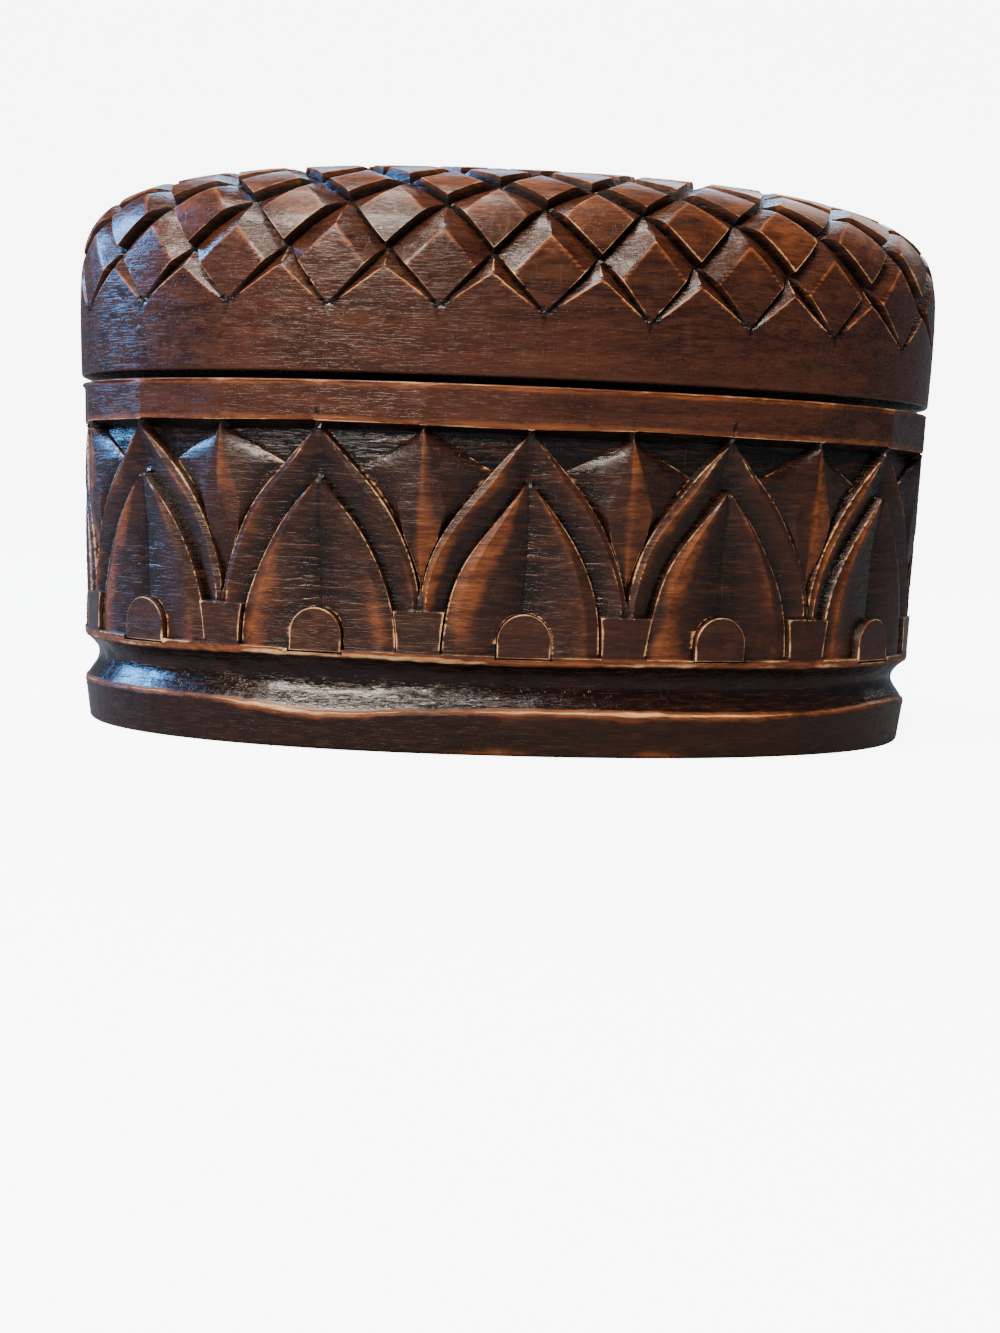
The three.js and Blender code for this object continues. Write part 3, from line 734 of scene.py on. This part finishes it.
def stud_outline(half, clearance):
    """Outline of a stud as (across, height) points, from its lower left corner over the round top."""
    foot = relief_bottom - 0.35 - clearance
    reach = half + clearance
    points = [(-reach, foot)]
    for i in range(STUD_STEPS + 1):
        angle = math.pi * (1 - i / STUD_STEPS)
        points.append((reach * math.cos(angle), knob_centre + reach * math.sin(angle)))
    points.append((reach, foot))
    return np.array(points)


def stud_mesh(name, clearance, front, back, spread):
    """All the studs as one mesh; front and back are depths, and spread widens the back."""
    vertices, faces = [], []
    rounding = 0.12
    sections = [(0.88, front, 0.0), (0.965, front, 0.0), (1.0, front + rounding, 0.0), (1.0, back, spread)]
    middle = np.array([0.0, knob_centre])
    rng = np.random.default_rng(61)
    for arch in range(arch_count):
        half = knob_radius + rng.uniform(-0.12, 0.12)
        slip = rng.uniform(-0.5, 0.5)
        lift = rng.uniform(-0.2, 0.2)
        rings = []
        for share, depth, grow in sections:
            ring = middle + (stud_outline(half, clearance + grow) - middle) * share
            u = (arch + (ring[:, 0] + slip) / (2 * arch_half)) / arch_count
            z = ring[:, 1] + lift
            x, y = oval(u, half_width - side_inset(z) - depth, half_depth - side_inset(z) - depth)
            rings.append(np.stack([x, y, z], -1))
        count = len(rings[0])
        start = len(vertices)
        vertices += [*np.concatenate(rings), rings[0].mean(axis=0), rings[-1].mean(axis=0)]
        back_middle = len(vertices) - 1
        front_middle = back_middle - 1
        last = start + (len(rings) - 1) * count
        for i in range(count):
            j = (i + 1) % count
            faces.append((front_middle, start + j, start + i))
            for r in range(len(rings) - 1):
                a, b = start + r * count + i, start + r * count + j
                faces += [(a, b, b + count), (a, b + count, a + count)]
            faces.append((back_middle, last + i, last + j))
    return make_mesh(name, vertices, faces)


def add_studs(piece):
    boolean(piece, stud_mesh("stud_cut", clearance=0.3, front=-1.5, back=1.55, spread=-0.1))
    boolean(piece, stud_mesh("stud", clearance=0.0, front=0.12, back=4.5, spread=0.1), "UNION")


# Wear, and painted shade in the cuts and creases, worked out from the carving and kept on the points of each
# mesh

def keep_values(piece, name, values):
    attribute = piece.data.attributes.new(name, "FLOAT", "POINT")
    attribute.data.foreach_set("value", values.astype(np.float32))


def read_all(items, name, size, kind=np.float32):
    """One property of all the faces, edges or corners of a mesh, with size numbers for each."""
    values = np.empty(size * len(items), kind)
    items.foreach_get(name, values)
    return values.reshape(-1, size)


def edge_sharpness(mesh):
    """For each point, how sharply the surface turns outwards (first) and inwards (second) there."""
    loop_edges = read_all(mesh.loops, "edge_index", 1, np.int32)[:, 0]
    totals = read_all(mesh.polygons, "loop_total", 1, np.int32)[:, 0]
    owners = np.repeat(np.arange(len(mesh.polygons)), totals)
    normals = read_all(mesh.polygons, "normal", 3)
    middles = read_all(mesh.polygons, "center", 3)
    order = np.argsort(loop_edges, kind="stable")
    edges_in_order = loop_edges[order]
    pair = np.nonzero(edges_in_order[:-1] == edges_in_order[1:])[0]
    one = owners[order[pair]]
    two = owners[order[pair + 1]]
    angle = np.arccos(np.clip((normals[one] * normals[two]).sum(-1), -1, 1))
    outwards = ((middles[two] - middles[one]) * normals[one]).sum(-1) < 0
    ends = read_all(mesh.edges, "vertices", 2, np.int32)[edges_in_order[pair]]
    convex = np.zeros(len(mesh.vertices))
    concave = np.zeros(len(mesh.vertices))
    for side in (0, 1):
        np.maximum.at(convex, ends[:, side], np.where(outwards, angle, 0))
        np.maximum.at(concave, ends[:, side], np.where(outwards, 0, angle))
    return convex, concave


# Values on faces that were cut away later
CUT_AWAY = {"proud": 0.3, "painted_shade": 0.4, "cut": 0.1}


def add_wear_and_shade_values(piece, points, values):
    """Keeps "edge", above 0 on sharp edges and below it in creases, where it paints shade, and the values of
    the nearest point.
    """
    mesh = piece.data
    places = points.reshape(-1, 3) * MM
    finder = kdtree.KDTree(len(places))
    for i, place in enumerate(places):
        finder.insert(place, i)
    finder.balance()
    found = [finder.find(v.co) for v in mesh.vertices]
    nearest = np.array([f[1] for f in found])
    kept = np.array([f[2] for f in found]) < 0.02 * MM
    convex, concave = edge_sharpness(mesh)
    sharp = ramp(convex, math.radians(12), math.radians(52))
    # The faces cut for the hinges have no points inside them, so their edges are left unworn
    above_studs = (block_top + 5) * MM
    high_up = np.array([v.co.z for v in mesh.vertices]) > above_studs
    sharp = np.where(high_up & ~kept, 0.0, sharp)
    # The part below 0, in the creases, is painted as shade
    keep_values(piece, "edge", sharp - 2.5 * np.clip(concave / math.radians(60), 0, 1))
    for name, grid in values.items():
        keep_values(piece, name, np.where(kept, grid.reshape(-1)[nearest], CUT_AWAY[name]))


# Node helpers; they all add to the tree of the group or material that was started last

tree = None


def fill(sockets, values):
    """Gives each of these sockets its plain value or another node's output."""
    for key, value in values.items():
        if isinstance(value, bpy.types.NodeSocket):
            tree.links.new(value, sockets[key])
        else:
            sockets[key].default_value = value


def put(kind, inputs, **settings):
    """Adds a node with these inputs."""
    node = tree.nodes.new(kind)
    for key, value in settings.items():
        setattr(node, key, value)
    fill(node.inputs, inputs)
    return node


def maths(operation, first, second):
    return put("ShaderNodeMath", {0: first, 1: second}, operation=operation).outputs[0]


def plus(first, second):
    return maths("ADD", first, second)


def minus(first, second):
    return maths("SUBTRACT", first, second)


def times(first, second):
    return maths("MULTIPLY", first, second)


def between(value, low, high, smooth=True):
    """0 at low and 1 at high."""
    kind = "SMOOTHSTEP" if smooth else "LINEAR"
    node = put("ShaderNodeMapRange", {"Value": value, "From Min": low, "From Max": high},
               interpolation_type=kind)
    return node.outputs["Result"]


def stretched(vector, scale, shift=(0, 0, 0)):
    return put("ShaderNodeMapping", {"Vector": vector, "Scale": scale, "Location": shift}).outputs[0]


def noise(vector, scale, detail, roughness=0.6):
    """Noise from 0 to 1; three scales stretch it along X, Y and Z."""
    if isinstance(scale, tuple):
        vector, scale = stretched(vector, scale), 1.0
    inputs = {"Vector": vector, "Scale": scale, "Detail": detail, "Roughness": roughness}
    return put("ShaderNodeTexNoise", inputs).outputs["Fac"]


def blend_colour(share, first, second):
    first, second = ((*value, 1) if isinstance(value, tuple) else value for value in (first, second))
    inputs = {0: share, 6: first, 7: second}
    return put("ShaderNodeMix", inputs, data_type="RGBA", clamp_factor=True).outputs[2]


def tinted(colour, mask, strength, tint):
    return blend_colour(times(mask, strength), colour, tint)


def bump(height, strength, distance, **under):
    inputs = {"Height": height, "Strength": strength, "Distance": distance, **under}
    return put("ShaderNodeBump", inputs).outputs["Normal"]


def object_place():
    return put("ShaderNodeTexCoord", {}).outputs["Object"]


def point_value(name):
    return put("ShaderNodeAttribute", {}, attribute_name=name).outputs["Fac"]


def new_group(name, masks, results):
    """Starts a node group that takes a place and these masks; returns its inputs and its results."""
    global tree
    tree = bpy.data.node_groups.new(name, "ShaderNodeTree")
    tree.interface.new_socket("Place", in_out="INPUT", socket_type="NodeSocketVector")
    for side, labels in (("INPUT", masks), ("OUTPUT", results)):
        for label in labels:
            tree.interface.new_socket(label, in_out=side, socket_type="NodeSocketFloat")
    return tree.nodes.new("NodeGroupInput").outputs, tree.nodes.new("NodeGroupOutput").inputs


def use_group(group, inputs):
    return put("ShaderNodeGroup", inputs, node_tree=group).outputs


def make_wood_grain():
    """Grain of a block sawn along X: streaks, pores, growth rings and slow patches of tone."""
    given, result = new_group("wood_grain", (), ("Streaks", "Pores", "Rings", "Patches", "Scratches"))
    place = given["Place"]
    ring_spacing = 0.0042
    sway = put("ShaderNodeTexNoise", {"Vector": place, "Scale": 22.0, "Detail": 1.0}).outputs["Color"]
    sway = put("ShaderNodeVectorMath", {0: sway, 1: (0.5, 0.5, 0.5)}, operation="SUBTRACT").outputs[0]
    sway = put("ShaderNodeVectorMath", {0: sway, "Scale": 0.006}, operation="SCALE").outputs[0]
    bent = put("ShaderNodeVectorMath", {0: place, 1: sway}, operation="ADD").outputs[0]
    wide = noise(bent, (60, 420, 620), 3.0)
    fine = noise(bent, (260, 1700, 2300), 3.0, 0.65)
    both = plus(times(wide, 0.5), times(fine, 0.5))
    fill(result, {"Streaks": between(both, 0.36, 0.64)})
    pores = noise(bent, (330, 3400, 4300), 1.0, 0.5)
    fill(result, {"Pores": between(pores, 0.62, 0.72)})
    pith = stretched(bent, (0.0, 1.0, 1.0), (0.0, -0.03, 0.11))
    radius = put("ShaderNodeVectorMath", {0: pith}, operation="LENGTH").outputs["Value"]
    rings = maths("SINE", times(radius, 2 * math.pi / ring_spacing), 0.0)
    fill(result, {"Rings": between(rings, -1.0, 1.0)})
    patches = noise(place, (32, 55, 70), 3.0)
    fill(result, {"Patches": between(patches, 0.35, 0.65)})
    upright = noise(place, (3600, 3600, 220), 2.0)
    level = noise(place, (300, 300, 4200), 2.0)
    scratches = maths("MAXIMUM", between(upright, 0.58, 0.8), between(level, 0.5, 0.72))
    fill(result, {"Scratches": scratches})
    return tree


def make_rubbed_edges():
    """Where finish has rubbed off: through to bare wood on sharp edges, and thin on what stands proud."""
    given, result = new_group("rubbed_edges", ("Edge", "Proud"), ("Bare", "Thin"))
    place = given["Place"]
    coarse = noise(place, 110.0, 3.0)
    fine = noise(place, (300, 300, 480), 3.0)
    uneven = plus(times(coarse, 0.6), times(fine, 0.4))
    uneven = minus(uneven, 0.5)
    strength = between(given["Edge"], 0.3, 1.0, smooth=False)
    strength = plus(strength, between(given["Proud"], 0.9, 1.7, smooth=False))
    bare = plus(strength, times(uneven, 2.1))
    fill(result, {"Bare": between(bare, 0.5, 0.95)})
    standing = maths("MAXIMUM", given["Proud"], times(given["Edge"], 0.8))
    thin = plus(standing, times(uneven, 1.5))
    fill(result, {"Thin": between(thin, 0.3, 1.0)})
    return tree


def make_chisel_marks():
    """Short level ridges that a chisel leaves in cut-away places, as a height."""
    given, result = new_group("chisel_marks", ("Cut",), ("Height", "Ridges"))
    place = given["Place"]
    ridges = noise(stretched(place, (140, 140, 1000), (0.3, 0.1, 0.2)), 1.0, 2.0, 0.45)
    pits = noise(place, 2400.0, 2.0)
    height = plus(between(ridges, 0.52, 0.62), times(pits, 0.35))
    height = times(height, between(given["Cut"], 0.12, 0.5))
    fill(result, {"Height": height})
    fill(result, {"Ridges": times(between(ridges, 0.55, 0.66), given["Cut"])})
    return tree


wood_grain = make_wood_grain()
rubbed_edges = make_rubbed_edges()
chisel_marks = make_chisel_marks()


def new_material(name):
    """Starts a material; returns it and its surface shader."""
    global tree
    material = bpy.data.materials.new(name)
    material.use_nodes = True
    tree = material.node_tree
    return material, tree.nodes["Principled BSDF"]


def carved_wood():
    """Dark red-brown stain under varnish, rubbed through on the edges, with painted shade making it almost
    black in the cuts and creases.
    """
    dark_stain = (0.02, 0.0048, 0.0028)
    red_stain = (0.058, 0.015, 0.0064)
    pale_streak = (0.105, 0.035, 0.0155)
    dark_ring = (0.014, 0.0042, 0.0026)
    dark_pore = (0.005, 0.0025, 0.002)
    # Painted shade: near black for the cuts, the lower body and the cove
    painted_shade_colour = (0.0045, 0.0026, 0.0022)
    # Painted shade: near black for the creases
    crease_shade = (0.002, 0.0015, 0.0015)
    pale_scratch = (0.15, 0.055, 0.022)
    thin_dark = (0.105, 0.024, 0.006)
    thin_orange = (0.31, 0.09, 0.021)
    bare_tan = (0.42, 0.18, 0.065)
    bare_cream = (0.82, 0.52, 0.27)

    material, shader = new_material("carved_wood")
    place = object_place()
    grain = use_group(wood_grain, {"Place": place})
    edge = point_value("edge")
    proud = point_value("proud")
    painted_shade = point_value("painted_shade")
    worn = use_group(rubbed_edges, {"Place": place, "Edge": edge, "Proud": proud})
    cut = point_value("cut")
    chatter = use_group(chisel_marks, {"Place": place, "Cut": cut})

    stain = blend_colour(grain["Patches"], dark_stain, red_stain)
    stain = tinted(stain, grain["Streaks"], 0.6, pale_streak)
    stain = tinted(stain, grain["Rings"], 0.25, dark_ring)
    stain = tinted(stain, grain["Pores"], 0.6, dark_pore)
    # Painted shade: darkened where the shade value is high
    stain = tinted(stain, between(painted_shade, 0.05, 1.0, smooth=False), 0.9, painted_shade_colour)
    # Painted shade: the creases are painted near black
    stain = tinted(stain, between(edge, 0.0, -1.2), 0.9, crease_shade)
    stain = tinted(stain, grain["Scratches"], 0.2, pale_scratch)
    thin = blend_colour(grain["Streaks"], thin_dark, thin_orange)
    rubbed = maths("MAXIMUM", worn["Thin"], times(chatter["Ridges"], 0.2))
    stain = tinted(stain, rubbed, 0.8, thin)
    bare = blend_colour(grain["Streaks"], bare_tan, bare_cream)
    fill(shader.inputs, {"Base Color": blend_colour(worn["Bare"], stain, bare)})

    dull = plus(0.27, times(grain["Scratches"], 0.14))
    dull = plus(dull, times(worn["Bare"], 0.2))
    dull = plus(dull, times(worn["Thin"], 0.1))
    dull = plus(dull, times(between(painted_shade, 0.15, 0.42), 0.09))
    pooled = times(between(painted_shade, 0.7, 1.0), minus(1.0, times(cut, 0.5)))
    dull = minus(dull, times(pooled, 0.21))
    fill(shader.inputs, {"Roughness": dull, "Specular IOR Level": 0.36, "Coat Weight": 0.12,
                         "Coat Roughness": 0.16})

    relief = times(grain["Scratches"], 0.16)
    relief = minus(relief, times(grain["Pores"], 0.15))
    relief = plus(relief, times(chatter["Height"], 0.3))
    fibres = noise(place, (1100, 2400, 2400), 2.0)
    relief = plus(relief, times(fibres, 0.35))
    waves = noise(place, (260, 260, 420), 2.0, 0.5)
    hand_finish = bump(waves, 0.35, 0.0006)
    fill(shader.inputs, {"Normal": bump(relief, 0.6, 0.00025, Normal=hand_finish)})
    return material


def hollow_wood():
    """The inside: the same wood, wiped with stain and left dull."""
    dark_stain = (0.085, 0.033, 0.015)
    light_stain = (0.13, 0.055, 0.025)
    dark_ring = (0.055, 0.021, 0.01)
    pale_streak = (0.18, 0.085, 0.04)
    dark_pore = (0.02, 0.009, 0.005)

    material, shader = new_material("hollow_wood")
    grain = use_group(wood_grain, {"Place": object_place()})
    colour = blend_colour(grain["Patches"], dark_stain, light_stain)
    colour = tinted(colour, grain["Rings"], 0.4, dark_ring)
    colour = tinted(colour, grain["Streaks"], 0.45, pale_streak)
    colour = tinted(colour, grain["Pores"], 0.6, dark_pore)
    relief = bump(grain["Streaks"], 0.4, 0.0001)
    fill(shader.inputs, {"Base Color": colour, "Roughness": 0.62, "Normal": relief})
    return material


def aged_brass():
    """Old brass: brown tarnish in the dull places, brighter where fingers rub."""
    bright_brass = (0.6, 0.4, 0.16)
    brown_tarnish = (0.28, 0.17, 0.07)
    dark_spot = (0.09, 0.055, 0.03)

    material, shader = new_material("aged_brass")
    place = object_place()
    tarnish = between(noise(place, 420.0, 4.0), 0.4, 0.65)
    spots = between(noise(place, 1900.0, 3.0), 0.55, 0.7)
    colour = blend_colour(tarnish, bright_brass, brown_tarnish)
    colour = tinted(colour, spots, 0.6, dark_spot)
    dull = plus(0.28, times(tarnish, 0.25))
    brushed = noise(place, (200, 6000, 6000), 2.0)
    relief = bump(brushed, 0.3, 0.00005)
    fill(shader.inputs, {"Base Color": colour, "Metallic": 1.0, "Roughness": dull, "Normal": relief})
    return material


wood = carved_wood()
inside_wood = hollow_wood()
brass = aged_brass()


def mark_inside(piece, low, high):
    """Gives the faces of the hollow, between two heights, the second material."""
    mesh = piece.data
    x, y, z = read_all(mesh.polygons, "center", 3).T / MM
    reach = wall - arris / 2
    across = np.abs(x / (half_width - reach)) ** outline_power
    within = across + np.abs(y / (half_depth - reach)) ** outline_power < 1
    inside = within & (z > low) & (z < high)
    mesh.polygons.foreach_set("material_index", inside.astype(np.int32))


def finish_wood(piece, node, body, points, values, hollow):
    piece.data.materials.clear()
    piece.data.materials.append(wood)
    piece.data.materials.append(inside_wood)
    mark_inside(piece, *hollow)
    piece.data.shade_smooth()
    piece.data.set_sharp_from_angle(angle=math.radians(20))
    add_wear_and_shade_values(piece, points, values)
    facets = piece.modifiers.new("flat_facets", "WEIGHTED_NORMAL")
    facets.keep_sharp = True
    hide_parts(node)
    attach(piece, body)


slack = 0.1

body_points, body_depth, body_values = body_mesh()
carved_body = closed_skin("carved_body", body_points, body_depth)
add_studs(carved_body)
cut_hinge_seats(carved_body, "body", -1)
finish_wood(carved_body, "box_body", "body", body_points, body_values, (floor_thickness - slack, rim_height))

lid_skin, lid_depth, lid_values = lid_mesh()
carved_lid = closed_skin("carved_lid", lid_skin, lid_depth)
cut_hinge_seats(carved_lid, "lid", 1)
finish_wood(carved_lid, "lid", "lid", lid_skin, lid_values, (lid_bottom, ceiling + slack))

for node_name, node in frame["nodes"].items():
    if node_name not in ("box_body", "lid"):
        node.data.materials.clear()
        node.data.materials.append(brass)
        softened = node.modifiers.new("softened_edges", "BEVEL")
        softened.width = 0.12 * MM
        softened.segments = 2
        softened.angle_limit = math.radians(40)


# Camera, floor and light

camera_place = (-23.88, -308.43, 39.18)
camera_yaw = 0.078
camera_pitch = 0.094
camera_roll = 0.036
focal_pixels = 1700
picture_height_pixels = 1333


def place_camera():
    view = bpy.data.cameras.new("view")
    camera = bpy.data.objects.new("view", view)
    bpy.context.scene.collection.objects.link(camera)
    ahead = Vector((math.sin(camera_yaw), math.cos(camera_yaw), 0)) * math.cos(camera_pitch)
    forward = ahead - Vector((0, 0, math.sin(camera_pitch)))
    level = Vector((math.cos(camera_yaw), -math.sin(camera_yaw), 0))
    up = level.cross(forward)
    right = math.cos(camera_roll) * level + math.sin(camera_roll) * up
    top = -math.sin(camera_roll) * level + math.cos(camera_roll) * up
    turn = Matrix((right, top, -forward)).transposed().to_4x4()
    camera.matrix_world = Matrix.Translation(Vector(camera_place) * MM) @ turn
    view.sensor_width = 36
    view.lens = focal_pixels * view.sensor_width / picture_height_pixels
    view.clip_start = 0.01
    bpy.context.scene.camera = camera


def add_area_light(name, place, aim, size, power, colour):
    light = bpy.data.lights.new(name, "AREA")
    light.shape = "RECTANGLE"
    light.size, light.size_y = size
    light.energy = power
    light.color = colour
    lamp = bpy.data.objects.new(name, light)
    bpy.context.scene.collection.objects.link(lamp)
    lamp.location = place
    lamp.rotation_euler = (Vector(aim) - Vector(place)).to_track_quat("-Z", "Y").to_euler()
    lamp.visible_camera = False


def add_stage():
    """A pale floor that curves up into a pale wall all round; its own sizes are in metres."""
    middle_radius = 0.15
    floor_radius = 0.9
    curve_radius = 0.6
    wall_top = 2.2
    curve_steps = 12
    sides = 96
    profile = [(middle_radius, 0.0), (floor_radius, 0.0)]
    for i in range(1, curve_steps + 1):
        angle = math.pi / 2 * i / curve_steps
        profile.append((floor_radius + curve_radius * math.sin(angle), curve_radius * (1 - math.cos(angle))))
    profile.append((floor_radius + curve_radius, wall_top))
    turns = [2 * math.pi * i / sides for i in range(sides)]
    vertices = [(r * math.cos(t) / MM, r * math.sin(t) / MM, z / MM) for r, z in profile for t in turns]
    faces = [tuple(range(sides))]
    for ring in range(len(profile) - 1):
        for i in range(sides):
            j = (i + 1) % sides
            low = ring * sides
            faces.append((low + i, low + sides + i, low + sides + j, low + j))
    stage = make_mesh("stage", vertices, faces)
    stage.data.shade_smooth()
    stage.data.materials.append(pale_paper())


def pale_paper():
    """White paper; it throws less light back at the box than it shows, as paper in a dim room does."""
    material, shader = new_material("pale_paper")
    tree.nodes.remove(shader)
    seen = put("ShaderNodeBsdfDiffuse", {"Color": (0.9, 0.9, 0.9, 1)}).outputs[0]
    bright = put("ShaderNodeEmission", {"Color": (1, 1, 1, 1), "Strength": 7.0}).outputs[0]
    seen = put("ShaderNodeAddShader", {0: seen, 1: bright}).outputs[0]
    returned = put("ShaderNodeBsdfDiffuse", {"Color": (0.2, 0.2, 0.2, 1)}).outputs[0]
    looked_at = put("ShaderNodeLightPath", {}).outputs["Is Camera Ray"]
    both = put("ShaderNodeMixShader", {0: looked_at, 1: returned, 2: seen}).outputs[0]
    fill(tree.nodes["Material Output"].inputs, {"Surface": both})
    return material


def set_world():
    world = bpy.data.worlds.new("room")
    world.use_nodes = True
    background = world.node_tree.nodes["Background"]
    fill(background.inputs, {"Color": (0.9, 0.93, 1.0, 1), "Strength": 0.12})
    bpy.context.scene.world = world


place_camera()
add_stage()
set_world()
add_area_light("window", (-0.93, 0.28, 0.50), (0, 0, 0.08), (0.3, 0.34), 20, (0.12, 0.44, 1.0))
add_area_light("back_window", (0.05, 0.80, 0.72), (0, 0, 0.08), (0.7, 0.15), 4, (0.40, 0.68, 1.0))
add_area_light("side_lamp", (0.62, 0.72, 0.95), (0, 0, 0.05), (0.9, 0.9), 6, (1.0, 0.95, 0.9))
add_area_light("ceiling_lamp", (-0.20, -0.27, 0.92), (0, 0, 0.05), (0.55, 0.12), 9, (1.0, 0.95, 0.88))
add_area_light("front_lamp", (-0.46, -0.80, 0.66), (0, 0, 0.05), (0.52, 0.2), 17, (1.0, 0.89, 0.77))
